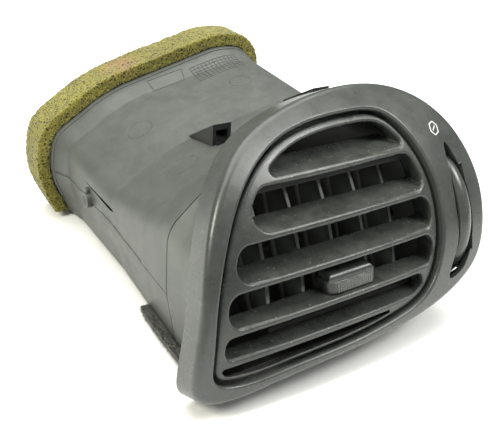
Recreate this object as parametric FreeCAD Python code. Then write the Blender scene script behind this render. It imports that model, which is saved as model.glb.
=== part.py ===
import FreeCAD, Part
import math
import os

from FreeCAD import Placement, Rotation, Vector

# Dashboard side air vent, in millimetres.
# Working frame: +X to the right across the face, +Y back along the duct, +Z up.
# The face leans back, so its parts are drawn in a face frame (x, t, n): t runs up the
# face, n points out of it, and its origin is the tilt axis of the louvre grille.

# ---------------------------------------------------------------- driving dimensions
FACE_TILT = 27.0            # lean of the face from upright, degrees
PIVOT = Vector(0, 16.5, 54.0)
FACE_RADIUS = 109.0         # curvature of the face from bottom to top
FACE_CROWN = 9.1            # height of the face over the tilt axis
BULGE_RADIUS = 540.0        # gentle curvature from left to right
BULGE_CENTRE = -12.4

BEZEL_PROUD = 2.5           # bezel crown over the louvre face
BEZEL_DEPTH = 14.0
BEZEL_WALL = 2.8
COLLAR_WALL = 2.4
BEZEL_ROLL = 3.0            # radius of the rolled outer edge
LIP_ROLL = 1.0              # radius of the inner lip
GRILLE_GAP = 1.6            # visible gap round the grille

RING_SKIN = 2.2
RING_BACK = -4.0            # n of the rear edge of the ring
SWEEP_BACK_N = -13.5        # n behind everything that the tilting ring sweeps
SLAT_HEIGHTS = (25.3, 6.5, -9.5, -24.5, -35.3)
SLAT_BAR = 2.4              # height of a slat's front bar
SLAT_THICKNESS = 1.8
SLAT_DEPTHS = (17.0, 13.6, 12.7, 9.5, 8.0)
OPENING_INSETS = (3.2, 3.8, 3.5, 2.8, 2.6, 1.5)
OPENING_SHIFT = 1.0         # of every opening to the right of the ring's centre
LEFT_CORNERS = (2.2, 7.0, 6.0, 5.8, 3.6, 1.0)
RIGHT_CORNERS = (2.6, 5.6, 5.4, 5.0, 3.4, 0.8)
OPENING_ROLL = 0.9          # rounding of the face into every opening but the lowest

PIVOT_PIN_R = 2.0
PIVOT_PIN_ENDS = ((-67.0, -60.4), (38.0, 45.2))
PIVOT_BOSS_R = 4.5
PIVOT_BOSS_ENDS = ((-68.0, -62.0), (40.0, 46.2))
PIVOT_BORE_ENDS = ((-67.2, -57.2), (35.4, 45.4))
RUNNING_CLEARANCE = 0.05

VANE_X = (-39.4, -23.2, -7.0, 9.2, 25.4)
VANE_THICKNESS = 1.4
VANE_SETBACK = 13.6         # vane front edge behind the face
VANE_AXIS_N = -22.0
VANE_BACK_N = -30.0
VANE_TOP = 21.3
VANE_BOTTOM = -28.9
VANE_PIN_R = 1.2
RAIL_THICKNESS = 2.0
RAIL_GAP = 0.3
RAIL_LEFT = -43.0
RAIL_RIGHT = 30.5
RAIL_BACK_N = -26.0
TIE_PIN_N = -28.0
TIE_PIN_R = 0.9
TIE_HEIGHT = 4.8
TIE_DEPTH = 3.2
NOTCH_HALF = 4.0
NOTCH_N = -25.5

KNOB_SLAT = 3               # the knob rides on this slat, counted from the top
KNOB_VANE = 2               # and steers this vane, counted from the left
KNOB_X = -7.8
KNOB_WIDTH = 23.4
KNOB_FRONT_Y = 2.2
KNOB_BACK_Y = 11.0
KNOB_BAND_TOP = 40.4
KNOB_TOP = 43.3
KNOB_LEAN = 1.3             # of the front of the band, over its height
CAP_INSET = 0.6             # step from the band to the cap above it
CAP_ROLL = 2.4
KNOB_CORNER = 4.0           # front corner on the left
KNOB_TIGHT_CORNER = 1.8     # and on the right
SLIDE_CLEARANCE = 0.08
FORK_N = -7.0
FORK_PIN_R = 0.8
FORK_PIN_OFFSET = 2.1

WHEEL_RADIUS = 36.0
WHEEL_LEFT = 51.2
WHEEL_RIGHT = 59.0
WHEEL_MARGIN = 0.4
WHEEL_T = -3.0
WHEEL_N = -26.0
CRANK_RADIUS = 14.0
CRANK_ANGLE = 60.0          # of both cranks, from +Y towards +Z
CRANK_PIN_R = 1.5
ROD_LEFT = 47.9
ROD_THICKNESS = 2.2
OPEN_PIVOT_CLEARANCE = 0.3  # at the rod's rear eye

FLAP_Y = 125.0
FLAP_Z = 30.0
FLAP_CLOSED = 60.0          # degrees about +X from the open, level position
FLAP_THICKNESS = 1.6
FLAP_FOAM = 2.0
FLAP_GAP = 1.7
SHAFT_R = 1.8
BUSH_R = 2.7
BOSS_R = 3.9
LEVER_LEFT = 50.5
LEVER_RIGHT = 52.9
AXLE_R = 2.5
AXLE_BOSS_R = 5.0
BOSS_LEFT_ENDS = (-69.4, -62.0)
BOSS_RIGHT_ENDS = (43.0, 47.4)
KNURL_START = -62.0         # degrees from straight ahead, negative is downwards
KNURL_PITCH = 3.4
KNURL_COUNT = 15
PAD_LEFT = -15.2            # the grip pad on the knob's front
PAD_WIDTH = 17.4
PAD_HEIGHT = 3.9
PAD_MARGIN = 0.4            # under the top of the band
PAD_PROUD = 0.35
PAD_THICKNESS = 1.55

DUCT_WALL = 2.0
DUCT_FRONT_Y = 41.0
DUCT_SHOULDER_Y = 62.0
DUCT_CREASE_Y = 100.0
DUCT_FLARE_Y = 152.0
DUCT_NECK_Y = 165.0
DUCT_END_Y = 185.0
SHARPEST_CORNER = 0.3
PARTING_Z = 29.0
PARTING_GAP = 0.2
FRAME_GAP = 0.5

FOAM_THICKNESS = 7.0
FOAM_END_Z = 3.0
FELT_WIDTH = 4.5
FELT_HEIGHT = 5.5
FELT_FRONT_Y = 26.0
FELT_BACK_Y = 68.0

RAMP_WALL = 1.6
RAMP_ROOT = 12.0            # depth of a ramp's walls under its tip

# Snap ramps on the upper shell: tip, length, width and rise.
RAMPS = (
    (Vector(-26.6, 102.7, 63.6), 21.7, 9.0, 14.0),
    (Vector(22.5, 99.0, 75.4), 21.7, 9.0, 13.0),
)

# Shift that puts the whole vent's box in the middle of the shared frame.
CENTRE_X = -4.35
CENTRE_Y = 89.58
BASE_Z = 0.0

# ---------------------------------------------------------------- outlines
# Points on the face, (x, t), counter-clockwise from the lower left.
BEZEL_OUTLINE = (
    (-79, -38), (-76.6, -46), (-69.2, -49.2), (-50, -49.2), (-10, -47.2), (25, -44.2),
    (50.3, -37.5), (64.3, -27.5), (69.6, -12.5), (70.2, 3.3), (67.1, 18.7), (60, 34.2),
    (47.5, 46.7), (29.8, 54), (4, 55.3), (-22, 50.5), (-43, 41.2), (-57, 27.3), (-68, 6),
    (-75.6, -22),
)
GAP_OUTLINE = (
    (-70.7, -34.5), (-69.3, -40.4), (-63, -42.9), (-40, -43.2), (-10, -42.3), (14, -39.6),
    (30, -33.8), (37.3, -22), (40.4, -5), (39.6, 12), (34.2, 28.5), (24, 41.2), (8, 44),
    (-12, 42.9), (-30, 38), (-46, 26.5), (-58, 9.5), (-66, -10.5),
)
SLOT_OUTLINE = (
    (46, -32.8), (54.5, -29), (59.3, -18), (60.2, -2), (57.6, 14), (52.6, 25),
    (50.4, 9), (50.2, -6), (48.6, -20),
)

# Corners of the duct's cross-sections, (x, z, corner radius), counter-clockwise from the
# lower left. Each is the outer surface.
SECTION_FRONT = (
    (-64, 0, 6), (47, 0, 6), (45.5, 88, 14), (10, 94, 90), (-34, 88.5, 40),
    (-68.5, 58, 14), (-69, 30, 60),
)
SECTION_SHOULDER = (
    (-63, 0, 6), (47, 0, 6), (46, 79, 12), (18, 81.5, 90), (-35, 69, 60),
    (-68, 53, 13), (-68.5, 30, 60),
)
SECTION_BODY = (
    (-60.5, 0, 6), (47, 0, 6), (46, 73, 11), (24, 75.5, 60), (-36, 62, 80),
    (-66.5, 42.5, 12), (-67, 30, 60),
)
SECTION_WAIST = (
    (-60.5, 0, 6), (47, 0, 6), (45.5, 76.5, 11), (25, 79, 50), (-37, 64.5, 80),
    (-67, 45, 12), (-67.5, 30, 60),
)
SECTION_FLARE = (
    (-62, 0, 6), (48, 0, 6), (43.5, 80.5, 11), (24, 83.3, 40), (-40, 66.5, 70),
    (-69.5, 47.5, 16), (-73, 27, 40),
)


# ---------------------------------------------------------------- face frame helpers
def to_model(shape):
    """Move a shape from the face frame to the model frame."""
    moved = shape.copy()
    turn = Rotation(Vector(1, 0, 0), 90 - FACE_TILT)
    moved.Placement = Placement(PIVOT, turn).multiply(moved.Placement)
    return moved


def face_point(x, t, n):
    """Position in the model frame of a point given in the face frame."""
    lean = math.radians(FACE_TILT)
    return Vector(
        x,
        PIVOT.y + t * math.sin(lean) - n * math.cos(lean),
        PIVOT.z + t * math.cos(lean) + n * math.sin(lean),
    )


def face_height(x, t, offset=0.0):
    """n of the louvre face, or of a surface parallel to it, at (x, t)."""
    radius = FACE_RADIUS + offset - (x - BULGE_CENTRE) ** 2 / (2 * BULGE_RADIUS)
    return math.sqrt(radius ** 2 - t ** 2) + FACE_CROWN - FACE_RADIUS


def box(x_range, y_range, z_range):
    corner = Vector(x_range[0], y_range[0], z_range[0])
    return Part.makeBox(
        x_range[1] - x_range[0], y_range[1] - y_range[0], z_range[1] - z_range[0], corner
    )


def x_cylinder(radius, x_range, y, z):
    length = x_range[1] - x_range[0]
    return Part.makeCylinder(radius, length, Vector(x_range[0], y, z), Vector(1, 0, 0))


def barrel(offset):
    """Everything behind the face, up to a surface parallel to it."""
    half_turn = 48.0
    left, right = -112.0, 96.0
    axis_n = FACE_CROWN - FACE_RADIUS
    samples = 7
    step = (right - left) / (samples - 1)
    crest = []
    for index in range(samples):
        x = left + index * step
        crest.append(Vector(x, 0, face_height(x, 0, offset)))
    curve = Part.BSplineCurve()
    curve.interpolate(Points=crest)
    low_left = Vector(left, 0, axis_n + 20)
    low_right = Vector(right, 0, axis_n + 20)
    wire = Part.Wire([
        curve.toShape(),
        Part.makeLine(crest[-1], low_right),
        Part.makeLine(low_right, low_left),
        Part.makeLine(low_left, crest[0]),
    ])
    centre = Vector(0, 0, axis_n)
    profile = Part.Face(wire)
    profile.rotate(centre, Vector(1, 0, 0), -half_turn)
    return profile.revolve(centre, Vector(1, 0, 0), 2 * half_turn)


def closed_curve(points):
    curve = Part.BSplineCurve()
    curve.interpolate(Points=points, PeriodicFlag=True)
    return curve


def outline(points, grow=0.0):
    """Smooth closed curve through face points, moved outwards by grow."""
    places = [Vector(x, t, 0) for x, t in points]
    curve = closed_curve(places)
    if grow == 0:
        return curve
    moved = []
    for place in places:
        tangent = curve.tangent(curve.parameter(place))[0]
        moved.append(place + Vector(tangent.y, -tangent.x, 0) * grow)
    return closed_curve(moved)


def prism(curve, back, front):
    """Solid bounded by a face outline, between two values of n."""
    face = Part.Face(Part.Wire([curve.toShape()]))
    face.translate(Vector(0, 0, back))
    return face.extrude(Vector(0, 0, front - back))


# ---------------------------------------------------------------- duct helpers
def section_wire(corners, y, grow=0.0):
    """Closed wire of straight runs and corner arcs in the plane at y."""
    count = len(corners)
    points = [Vector(x, y, z) for x, z, _ in corners]
    directions = []
    for index in range(count):
        directions.append((points[(index + 1) % count] - points[index]).normalize())
    shifted = []
    for index in range(count):
        before = directions[index - 1]
        after = directions[index]
        normal_before = Vector(before.z, 0, -before.x)
        normal_after = Vector(after.z, 0, -after.x)
        spread = 1 + normal_before.dot(normal_after)
        shifted.append(points[index] + (normal_before + normal_after) * (grow / spread))
    starts, ends, middles = [], [], []
    for index in range(count):
        before = directions[index - 1]
        after = directions[index]
        radius = max(SHARPEST_CORNER, corners[index][2] + grow)
        turn = math.acos(max(-1.0, min(1.0, before.dot(after))))
        reach = radius * math.tan(turn / 2)
        corner = shifted[index]
        inward = (after - before).normalize()
        starts.append(corner - before * reach)
        ends.append(corner + after * reach)
        middles.append(corner + inward * (radius / math.cos(turn / 2) - radius))
    edges = []
    for index in range(count):
        edges.append(Part.Arc(starts[index], middles[index], ends[index]).toShape())
        following = (index + 1) % count
        edges.append(Part.makeLine(ends[index], starts[following]))
    return Part.Wire(edges)


def duct_volume(grow):
    """Solid inside the duct's outer surface, moved outwards by grow."""
    stations = (
        (SECTION_FRONT, DUCT_FRONT_Y), (SECTION_SHOULDER, DUCT_SHOULDER_Y),
        (SECTION_BODY, DUCT_CREASE_Y), (SECTION_WAIST, DUCT_FLARE_Y),
        (SECTION_FLARE, DUCT_NECK_Y), (SECTION_FLARE, DUCT_END_Y),
    )
    wires = [section_wire(corners, y, grow) for corners, y in stations]
    return Part.makeLoft(wires, True, True)


def duct_band(outer, inner, y_range):
    """Shell of the duct's shape between two offsets, over a stretch of its length."""
    reach = box((-100, 100), y_range, (-20, 120))
    return duct_volume(outer).common(reach).cut(duct_volume(inner))


def front_band(outer, inner, y_range):
    """Straight shell with the duct's front section, between two offsets."""
    outside = Part.makeLoft(
        [section_wire(SECTION_FRONT, y, outer) for y in y_range], True, True
    )
    longer = (y_range[0] - 1, y_range[1] + 1)
    inside = Part.makeLoft([section_wire(SECTION_FRONT, y, inner) for y in longer], True, True)
    return outside.cut(inside)


# ---------------------------------------------------------------- face and housing
def edges_at_face(solid, front):
    """Edges of the front skin of a face solid that lie outside and inside."""
    found = []
    for edge in solid.Edges:
        limits = edge.BoundBox
        if limits.ZMin > front and limits.XLength > 60:
            found.append(edge)
    found.sort(key=lambda edge: edge.Length)
    return found


def pivot_bosses():
    return [x_cylinder(PIVOT_BOSS_R, ends, 0, 0) for ends in PIVOT_BOSS_ENDS]


def pivot_bores():
    radius = PIVOT_PIN_R + RUNNING_CLEARANCE
    return [x_cylinder(radius, ends, 0, 0) for ends in PIVOT_BORE_ENDS]


def make_bezel():
    gap = GRILLE_GAP / 2
    shell = prism(outline(BEZEL_OUTLINE), -40, 30).common(barrel(BEZEL_PROUD))
    shell = shell.cut(prism(outline(GAP_OUTLINE, gap), -50, 40))
    inner_edge, outer_edge = edges_at_face(shell, -10)
    shell = shell.makeFillet(BEZEL_ROLL, [outer_edge])
    inner_edge = edges_at_face(shell, -10)[0]
    shell = shell.makeFillet(LIP_ROLL, [inner_edge])
    shell = shell.cut(barrel(BEZEL_PROUD - BEZEL_DEPTH))
    cavity = prism(outline(BEZEL_OUTLINE, -BEZEL_WALL), -45, 30)
    cavity = cavity.common(barrel(BEZEL_PROUD - BEZEL_WALL))
    collar_outline = outline(GAP_OUTLINE, gap + COLLAR_WALL)
    cavity = cavity.cut(prism(collar_outline, -50, 40))
    bezel = shell.cut(cavity)
    collar_middle = prism(outline(GAP_OUTLINE, gap + COLLAR_WALL / 2), -50, 40)
    bosses = [boss.cut(collar_middle) for boss in pivot_bosses()]
    bezel = bezel.fuse(bosses)
    bezel = bezel.cut(pivot_bores())
    bezel = bezel.cut(prism(outline(SLOT_OUTLINE), -50, 40))
    below_table = box((-100, 100), (-50, 60), (-20, 0))
    wheel = wheel_centre()
    room = WHEEL_MARGIN
    wheel_space = x_cylinder(
        WHEEL_RADIUS + room, (WHEEL_LEFT - room, WHEEL_RIGHT + room), wheel.y, wheel.z
    )
    return to_model(bezel).cut([below_table, wheel_space])


def face_space():
    """Everything that the bezel and the tilting grille take up, in the model frame."""
    rim = prism(outline(BEZEL_OUTLINE, FRAME_GAP), -30, 40)
    ahead = rim.cut(barrel(BEZEL_PROUD - BEZEL_DEPTH - FRAME_GAP))
    return to_model(ahead), to_model(prism(outline(GAP_OUTLINE, 1.0), SWEEP_BACK_N, 40))


def make_vent_frame(bezel):
    tube = front_band(0, -3.4, (-20, DUCT_FRONT_Y - FRAME_GAP))
    behind = to_model(barrel(BEZEL_PROUD - BEZEL_DEPTH))
    inside_rim = prism(outline(BEZEL_OUTLINE, -BEZEL_WALL - 0.3), -50, 30)
    inside_rim = to_model(inside_rim.common(barrel(-0.6)))
    frame = tube.common(behind).fuse(tube.common(inside_rim))
    sweep = face_space()[1]
    neck = front_band(-DUCT_WALL, -3.4, (DUCT_FRONT_Y - 3, DUCT_FRONT_Y))
    sleeve = duct_band(-DUCT_WALL, -3.4, (DUCT_FRONT_Y, DUCT_FRONT_Y + 6))
    wheel = wheel_centre()
    boss = x_cylinder(AXLE_BOSS_R, (44, WHEEL_LEFT - 0.3), wheel.y, wheel.z)
    frame = frame.fuse([neck, sleeve, boss])
    frame = frame.cut([sweep, x_cylinder(AXLE_R, (40, 60), wheel.y, wheel.z)])
    slot = to_model(prism(outline(SLOT_OUTLINE, 0.6), -30, 40))
    frame = frame.cut([bezel, slot])
    frame = frame.removeSplitter()
    return max(frame.Solids, key=lambda solid: solid.Volume)


def ramp(tip, length, width, rise):
    """Hollow snap ramp, rising towards the front from its tip and open at the front."""
    front = tip.y - length

    def wedge(inset, sunk):
        points = [
            Vector(tip.x + inset, tip.y - 2.2 * inset, tip.z - sunk),
            Vector(tip.x + inset, front - inset, tip.z - sunk),
            Vector(tip.x + inset, front - inset, tip.z + rise - inset * 1.2),
            Vector(tip.x + inset, tip.y - 2.2 * inset, tip.z - inset * 0.2),
        ]
        face = Part.Face(Part.makePolygon(points + [points[0]]))
        return face.extrude(Vector(width - 2 * inset, 0, 0))

    return wedge(0, RAMP_ROOT), wedge(RAMP_WALL, 30)


def make_ducts():
    shell = duct_band(0, -DUCT_WALL, (DUCT_FRONT_Y, DUCT_END_Y))
    above = box((-100, 100), (0, 200), (PARTING_Z, 130))
    below = box((-100, 100), (0, 200), (-20, PARTING_Z))
    groove = duct_band(1, -0.7, (DUCT_FRONT_Y - 1, DUCT_END_Y + 1))
    groove = groove.common(box((-100, 100), (0, 200), (PARTING_Z - 0.2, PARTING_Z + 0.2)))
    boss = x_cylinder(BOSS_R, BOSS_LEFT_ENDS, FLAP_Y, FLAP_Z)
    boss_right = x_cylinder(BOSS_R, BOSS_RIGHT_ENDS, FLAP_Y, FLAP_Z)
    bush_hole = x_cylinder(BUSH_R, (-80, 60), FLAP_Y, FLAP_Z)
    wheel = wheel_centre()
    axle_scallop = x_cylinder(AXLE_BOSS_R + FRAME_GAP, (40, 60), wheel.y, wheel.z)
    shell = shell.fuse([boss, boss_right])
    shell = shell.cut([groove, bush_hole, axle_scallop] + list(face_space()))
    upper = shell.common(above)
    lower = shell.common(below)
    inner = duct_volume(-DUCT_WALL)
    for tip, length, width, rise in RAMPS:
        solid, hollow = ramp(tip, length, width, rise)
        upper = upper.fuse(solid.cut(inner)).cut(hollow)
    return upper.removeSplitter(), lower.removeSplitter()


def make_gasket():
    ring = duct_band(FOAM_THICKNESS, 0, (DUCT_NECK_Y, DUCT_END_Y - 0.01))
    return ring.common(box((-100, 100), (0, 300), (FOAM_END_Z, 130)))


def make_felt_strip():
    reach = box((-75, -56), (FELT_FRONT_Y, FELT_BACK_Y), (0, FELT_HEIGHT))
    back = duct_band(FELT_WIDTH, 0, (DUCT_FRONT_Y, FELT_BACK_Y))
    front = front_band(FELT_WIDTH, 0, (FELT_FRONT_Y, DUCT_FRONT_Y))
    strip = back.fuse(front).common(reach)
    return max(strip.removeSplitter().Solids, key=lambda solid: solid.Volume)


# ---------------------------------------------------------------- louvre grille
def make_openings():
    limits = [60.0] + list(SLAT_HEIGHTS) + [-60.0]
    openings = []
    for index, inset in enumerate(OPENING_INSETS):
        top = limits[index] - SLAT_BAR / 2
        bottom = limits[index + 1] + SLAT_BAR / 2
        mask = prism(outline(GAP_OUTLINE, -GRILLE_GAP / 2 - inset), -60, 30)
        mask.translate(Vector(OPENING_SHIFT, 0, 0))
        band = mask.common(box((-90, 60), (bottom, top), (-70, 40)))
        middle = band.BoundBox.Center.x
        for on_left, corner in ((True, LEFT_CORNERS[index]), (False, RIGHT_CORNERS[index])):
            uprights = []
            for edge in band.Edges:
                span = edge.BoundBox
                upright = span.ZLength > 80 and span.XLength < 0.01
                if upright and (span.XMin < middle) == on_left:
                    uprights.append(edge)
            band = band.makeFillet(corner, uprights)
        openings.append(band)
    return openings


def roll_front(body, opening, radius):
    """Round the edges where an opening breaks through the face."""
    limits = opening.BoundBox
    edges = []
    for edge in body.Edges:
        middle = edge.valueAt((edge.FirstParameter + edge.LastParameter) / 2)
        on_face = abs(middle.z - face_height(middle.x, middle.y)) < 0.15
        in_height = limits.YMin - 0.1 < middle.y < limits.YMax + 0.1
        in_width = limits.XMin - 0.1 < middle.x < limits.XMax + 0.1
        if on_face and in_height and in_width:
            edges.append(edge)
    return body.makeFillet(radius, edges)


def slat_centre(index):
    """Middle of the front bar of a slat, at the crest of the face."""
    height = SLAT_HEIGHTS[index]
    return face_point(BULGE_CENTRE, height, face_height(BULGE_CENTRE, height) - 1.1)


def make_grille():
    edge = -GRILLE_GAP / 2
    body = prism(outline(GAP_OUTLINE, edge), RING_BACK, 30).common(barrel(0))
    rim_edge = edges_at_face(body, RING_BACK + 0.5)[-1]
    body = body.makeFillet(1.6, [rim_edge])
    openings = make_openings()
    for opening in openings[:-1]:
        body = roll_front(body.cut(opening), opening, OPENING_ROLL)
    hollow = prism(outline(GAP_OUTLINE, edge - RING_SKIN), -60, 40).common(barrel(-RING_SKIN))
    ring = to_model(body.cut(hollow).cut(openings[-1]))
    clip = prism(outline(GAP_OUTLINE, edge - 1.0), -40, 30).common(barrel(-0.6))
    clip = to_model(clip)
    plates = []
    for index in range(len(SLAT_HEIGHTS)):
        centre = slat_centre(index)
        half = SLAT_THICKNESS / 2
        reach = (centre.y - 4, centre.y + SLAT_DEPTHS[index])
        slab = box((-80, 50), reach, (centre.z - half, centre.z + half))
        plates.append(slab.common(clip))
    grille = ring.fuse(plates)
    return grille.cut(pivot_pins()).removeSplitter()


def pivot_pins():
    return [x_cylinder(PIVOT_PIN_R, ends, PIVOT.y, PIVOT.z) for ends in PIVOT_PIN_ENDS]


# ---------------------------------------------------------------- vanes
def t_cylinder(radius, x, t_range, n):
    length = t_range[1] - t_range[0]
    return Part.makeCylinder(radius, length, Vector(x, t_range[0], n), Vector(0, 1, 0))


def make_rail(grille, t_range, front, tabs):
    rail = box((RAIL_LEFT, RAIL_RIGHT), t_range, (RAIL_BACK_N, front))
    if tabs:
        reach = prism(outline(GAP_OUTLINE, -GRILLE_GAP / 2 - RING_SKIN), -3.6, -0.8)
        rail = rail.fuse(box((-80, 60), t_range, (-3.6, -0.8)).common(reach))
    for x in VANE_X:
        rail = rail.cut(t_cylinder(VANE_PIN_R + RUNNING_CLEARANCE, x, (-60, 60), VANE_AXIS_N))
    rail = to_model(rail.removeSplitter()).cut(grille)
    return max(rail.Solids, key=lambda solid: solid.Volume)


def make_vane(x):
    half = VANE_THICKNESS / 2
    plate = box((x - half, x + half), (VANE_BOTTOM, VANE_TOP), (VANE_BACK_N, 20))
    plate = plate.common(barrel(-VANE_SETBACK))
    barrel_pin = t_cylinder(1.9, x, (VANE_BOTTOM, VANE_TOP), VANE_AXIS_N)
    reach = RAIL_GAP + RAIL_THICKNESS - 0.4
    pins = t_cylinder(VANE_PIN_R, x, (VANE_BOTTOM - reach, VANE_TOP + reach), VANE_AXIS_N)
    notch = box((x - 3, x + 3), (-NOTCH_HALF, NOTCH_HALF), (VANE_BACK_N - 1, NOTCH_N))
    tie_pin = t_cylinder(TIE_PIN_R, x, (-NOTCH_HALF - 0.5, NOTCH_HALF + 0.5), TIE_PIN_N)
    vane = plate.fuse([barrel_pin, pins]).cut(notch).fuse(tie_pin)
    return to_model(vane.removeSplitter())


def make_tie_bar():
    ends = (VANE_X[0] - 2.6, VANE_X[-1] + 2.6)
    half = TIE_DEPTH / 2
    bar = box(ends, (-TIE_HEIGHT / 2, TIE_HEIGHT / 2), (TIE_PIN_N - half, TIE_PIN_N + half))
    for x in VANE_X:
        bar = bar.cut(t_cylinder(TIE_PIN_R + RUNNING_CLEARANCE, x, (-9, 9), TIE_PIN_N))
    return to_model(bar)


# ---------------------------------------------------------------- direction knob
def knob_profile(x_inset, front_low, front_high, back, low, high):
    """Block with a leaning front, between two heights, rounded at its front corners."""
    points = [
        Vector(0, front_low, low), Vector(0, back, low),
        Vector(0, back, high), Vector(0, front_high, high),
    ]
    face = Part.Face(Part.makePolygon(points + [points[0]]))
    width = KNOB_WIDTH - 2 * x_inset
    face.translate(Vector(KNOB_X - width / 2, 0, 0))
    return face.extrude(Vector(width, 0, 0))


def knob_floor():
    """Height of the underside of the knob, which slides on its slat."""
    return slat_centre(KNOB_SLAT).z + SLAT_THICKNESS / 2 + SLIDE_CLEARANCE


def make_knob():
    centre = slat_centre(KNOB_SLAT)
    floor = knob_floor()
    lip_top = floor + 0.75
    leaning_top = KNOB_FRONT_Y + KNOB_LEAN
    band = knob_profile(0, KNOB_FRONT_Y, leaning_top, KNOB_BACK_Y, floor, KNOB_BAND_TOP)
    for on_left, radius in ((True, KNOB_CORNER), (False, KNOB_TIGHT_CORNER)):
        corners = []
        for edge in band.Edges:
            limits = edge.BoundBox
            front = limits.ZLength > 3 and limits.YMax < KNOB_FRONT_Y + 2
            if front and (limits.XMax < KNOB_X) == on_left and limits.XLength < 0.01:
                corners.append(edge)
        band = band.makeFillet(radius, corners)
    cap_front = leaning_top + CAP_INSET
    cap = knob_profile(
        CAP_INSET, cap_front, cap_front, KNOB_BACK_Y, KNOB_BAND_TOP, KNOB_TOP
    )
    bevels = []
    for edge in cap.Edges:
        limits = edge.BoundBox
        top = limits.ZMin > KNOB_TOP - 0.1
        if top and limits.YMin < KNOB_BACK_Y - 1:
            bevels.append(edge)
    cap = cap.makeFillet(CAP_ROLL, bevels)
    lip_relief = box((-60, 40), (-10, centre.y + 2.6), (floor - 2, lip_top))
    knob = band.fuse(cap).cut([lip_relief, make_grip_pad()])
    return knob.removeSplitter()


def make_grip_pad():
    """Shallow inclined block with the knob's lean, standing a little out of its front."""
    high = KNOB_BAND_TOP - PAD_MARGIN
    low = high - PAD_HEIGHT
    slope = KNOB_LEAN / (KNOB_BAND_TOP - knob_floor())
    points = []
    for z in (low, high):
        front = KNOB_FRONT_Y + slope * (z - knob_floor()) - PAD_PROUD
        edge = [Vector(PAD_LEFT, front, z), Vector(PAD_LEFT, front + PAD_THICKNESS, z)]
        points += edge if z == low else edge[::-1]
    face = Part.Face(Part.makePolygon(points + [points[0]]))
    return face.extrude(Vector(PAD_WIDTH, 0, 0))


def make_fork():
    centre = slat_centre(KNOB_SLAT)
    x = VANE_X[KNOB_VANE]
    width = (x - 4.2, x + 4.2)
    above = centre.z + SLAT_THICKNESS / 2 + SLIDE_CLEARANCE
    below = centre.z - SLAT_THICKNESS / 2 - SLIDE_CLEARANCE
    bridge = box(width, (KNOB_BACK_Y, KNOB_BACK_Y + 1.9), (above, above + 1.8))
    hook_back = centre.y + SLAT_DEPTHS[KNOB_SLAT] + 0.4
    hook = box(width, (centre.y + 4, hook_back), (below - 1.6, below))
    web = box(width, (-23.6, -17.2), (-5.4, -4.0))
    arms = []
    for side in (-1, 1):
        middle = x + side * FORK_PIN_OFFSET
        inner = (middle - FORK_PIN_R, middle + FORK_PIN_R)
        arms.append(box(inner, (-21, -17.2), (FORK_N, -4.5)))
        arms.append(t_cylinder(FORK_PIN_R, middle, (-21, -17.2), FORK_N))
    rear = to_model(web.fuse(arms))
    fork = bridge.fuse([hook, rear])
    return fork.removeSplitter()


# ---------------------------------------------------------------- wheel, rod and flap
def wheel_centre():
    return face_point(0, WHEEL_T, WHEEL_N)


def crank(centre):
    """Place of a crank pin in the open position."""
    angle = math.radians(CRANK_ANGLE)
    return Vector(
        0, centre.y + CRANK_RADIUS * math.cos(angle), centre.z + CRANK_RADIUS * math.sin(angle)
    )


def make_thumbwheel():
    centre = wheel_centre()
    rim = [
        Vector(WHEEL_LEFT, 0, WHEEL_RADIUS - 1.2),
        Vector((WHEEL_LEFT + WHEEL_RIGHT) / 2 - 1.0, 0, WHEEL_RADIUS),
        Vector(WHEEL_RIGHT, 0, WHEEL_RADIUS - 4.0),
    ]
    crown = Part.Arc(*rim).toShape()
    hub_left = Vector(WHEEL_LEFT, 0, AXLE_R + RUNNING_CLEARANCE)
    hub_right = Vector(WHEEL_RIGHT, 0, AXLE_R + RUNNING_CLEARANCE)
    profile = Part.Face(Part.Wire([
        crown,
        Part.makeLine(rim[2], hub_right),
        Part.makeLine(hub_right, hub_left),
        Part.makeLine(hub_left, rim[0]),
    ]))
    wheel = profile.revolve(Vector(0, 0, 0), Vector(1, 0, 0), 360)
    dish = Part.makeCylinder(29, 3.0, Vector(WHEEL_RIGHT - 3.0, 0, 0), Vector(1, 0, 0))
    dish = dish.cut(Part.makeCylinder(6, 3.0, Vector(WHEEL_RIGHT - 3.0, 0, 0), Vector(1, 0, 0)))
    wheel = wheel.cut(dish)
    grooves = []
    for step in range(KNURL_COUNT):
        angle = math.radians(KNURL_START + step * KNURL_PITCH)
        y = -(WHEEL_RADIUS + 0.25) * math.cos(angle)
        z = (WHEEL_RADIUS + 0.25) * math.sin(angle)
        grooves.append(x_cylinder(0.75, (WHEEL_LEFT - 1, WHEEL_RIGHT + 1), y, z))
    wheel = wheel.cut(grooves)
    wheel.translate(Vector(0, centre.y, centre.z))
    pin = crank(centre)
    return wheel.fuse(x_cylinder(CRANK_PIN_R, (ROD_LEFT - 0.3, WHEEL_LEFT + 1), pin.y, pin.z))


def make_axle_pin():
    centre = wheel_centre()
    shank = x_cylinder(AXLE_R, (44.5, WHEEL_RIGHT + 0.2), centre.y, centre.z)
    head = x_cylinder(4.6, (WHEEL_RIGHT + 0.1, WHEEL_RIGHT + 1.6), centre.y, centre.z)
    return shank.fuse(head).removeSplitter()


def flap_axis():
    return Vector(0, FLAP_Y, FLAP_Z)


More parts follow.
